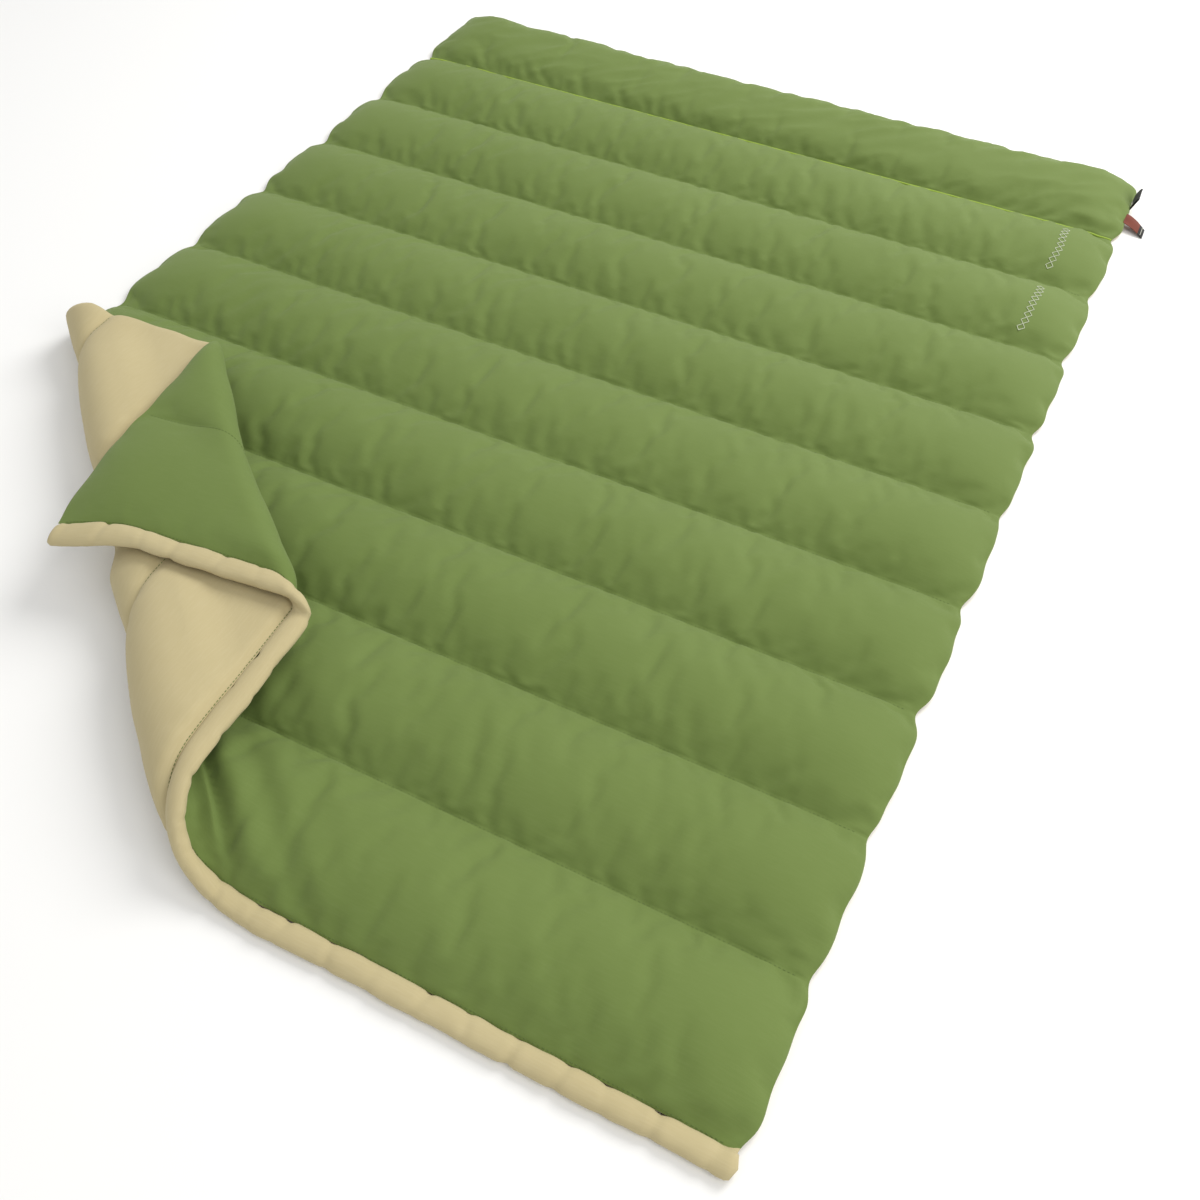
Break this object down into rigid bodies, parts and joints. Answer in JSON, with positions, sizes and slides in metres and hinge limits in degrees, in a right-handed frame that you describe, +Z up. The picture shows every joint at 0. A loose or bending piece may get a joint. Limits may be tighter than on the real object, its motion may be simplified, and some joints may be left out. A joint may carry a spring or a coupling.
{
  "type": "camp quilt",
  "caption": "Padded camp quilt with cross channels, lining-faced foot hem, piped head panel and one foot corner folded back in a Z; the head half rolls up.",
  "frame": {"origin": "on the floor, under the centre of the laid-out quilt", "axes": "+X across the quilt towards the labelled side edge, +Y towards the head edge, +Z up out of the outer shell"},
  "size_m": [1.5435, 2.0296, 0.1358],
  "materials": {
    "shell_cloth": "soft plain-weave microfibre, slight sheen",
    "lining_cloth": "soft brushed plain weave",
    "batting": "loose hollow-fibre wadding",
    "thread": "twisted polyester sewing thread",
    "piping": "satin piping cord",
    "label_weave": "plain damask-woven label",
    "label_band": "plain damask-woven label end",
    "tab_tape": "folded satin tape"
  },
  "bodies": {
    "foot_half": {"outer_shell_foot": "shell_cloth", "lining_foot": "lining_cloth", "quilting_thread_foot": "thread", "foot_hem": "lining_cloth", "batting_6": "batting", "batting_7": "batting", "batting_8": "batting", "batting_9": "batting", "batting_10": "batting"},
    "channel_5": {"outer_shell_5": "shell_cloth", "batting_5": "batting", "lining_5": "lining_cloth", "quilting_thread_5": "thread"},
    "channel_4": {"outer_shell_4": "shell_cloth", "batting_4": "batting", "lining_4": "lining_cloth", "quilting_thread_4": "thread"},
    "channel_3": {"outer_shell_3": "shell_cloth", "batting_3": "batting", "lining_3": "lining_cloth", "quilting_thread_3": "thread"},
    "channel_2": {"outer_shell_2": "shell_cloth", "batting_2": "batting", "lining_2": "lining_cloth", "quilting_thread_2": "thread"},
    "head_panel": {"outer_shell_1": "shell_cloth", "batting_1": "batting", "lining_1": "lining_cloth", "head_piping": "piping"},
    "corner_panel": {"outer_shell_panel": "shell_cloth", "lining_panel": "lining_cloth", "quilting_thread_panel": "thread", "foot_hem_panel": "lining_cloth", "batting_panel_7": "batting", "batting_panel_8": "batting", "batting_panel_9": "batting", "batting_panel_10": "batting"},
    "corner_flap": {"outer_shell_flap": "shell_cloth", "lining_flap": "lining_cloth", "quilting_thread_flap": "thread", "foot_hem_flap": "lining_cloth", "batting_flap_9": "batting", "batting_flap_10": "batting"},
    "label": {"side_label": "label_weave", "side_label_band": "label_band"},
    "tab": {"side_tab": "tab_tape"}
  },
  "joints": [
    {"name": "roll_seam_5", "type": "hinge", "parent": "foot_half", "child": "channel_5", "pos_m": [0, 0.015, 0.0102], "axis": [1, 0, 0], "range_deg": [0, 45]},
    {"name": "roll_seam_4", "type": "hinge", "parent": "channel_5", "child": "channel_4", "pos_m": [0, 0.215, 0.0102], "axis": [1, 0, 0], "range_deg": [0, 45]},
    {"name": "roll_seam_3", "type": "hinge", "parent": "channel_4", "child": "channel_3", "pos_m": [0, 0.415, 0.0102], "axis": [1, 0, 0], "range_deg": [0, 45]},
    {"name": "roll_seam_2", "type": "hinge", "parent": "channel_3", "child": "channel_2", "pos_m": [0, 0.615, 0.0102], "axis": [1, 0, 0], "range_deg": [0, 45]},
    {"name": "roll_seam_1", "type": "hinge", "parent": "channel_2", "child": "head_panel", "pos_m": [0, 0.815, 0.0102], "axis": [1, 0, 0], "range_deg": [0, 45]},
    {"name": "corner_fold", "type": "hinge", "parent": "foot_half", "child": "corner_panel", "pos_m": [-0.75, -0.28, 0.0452], "axis": [0.7256, -0.6881, 0], "range_deg": [0, 179.5]},
    {"name": "flap_fold", "type": "hinge", "parent": "corner_panel", "child": "corner_flap", "pos_m": [-0.44543, -0.26385, 0.0906], "axis": [0.7593, -0.6508, 0], "range_deg": [-180, 0]},
    {"name": "label_swing", "type": "hinge", "parent": "head_panel", "child": "label", "pos_m": [0.752, 0.89, 0.016], "axis": [0, -1, 0], "range_deg": [0, 90]},
    {"name": "tab_bend", "type": "hinge", "parent": "head_panel", "child": "tab", "pos_m": [0.7532, 0.943, 0.016], "axis": [0, -1, 0], "range_deg": [0, 40]}
  ],
  "couplings": [
    {"joint": "roll_seam_4", "follows": "roll_seam_5", "ratio": 1},
    {"joint": "roll_seam_3", "follows": "roll_seam_5", "ratio": 1},
    {"joint": "roll_seam_2", "follows": "roll_seam_5", "ratio": 1},
    {"joint": "roll_seam_1", "follows": "roll_seam_5", "ratio": 1},
    {"joint": "flap_fold", "follows": "corner_fold", "ratio": -1}
  ]
}
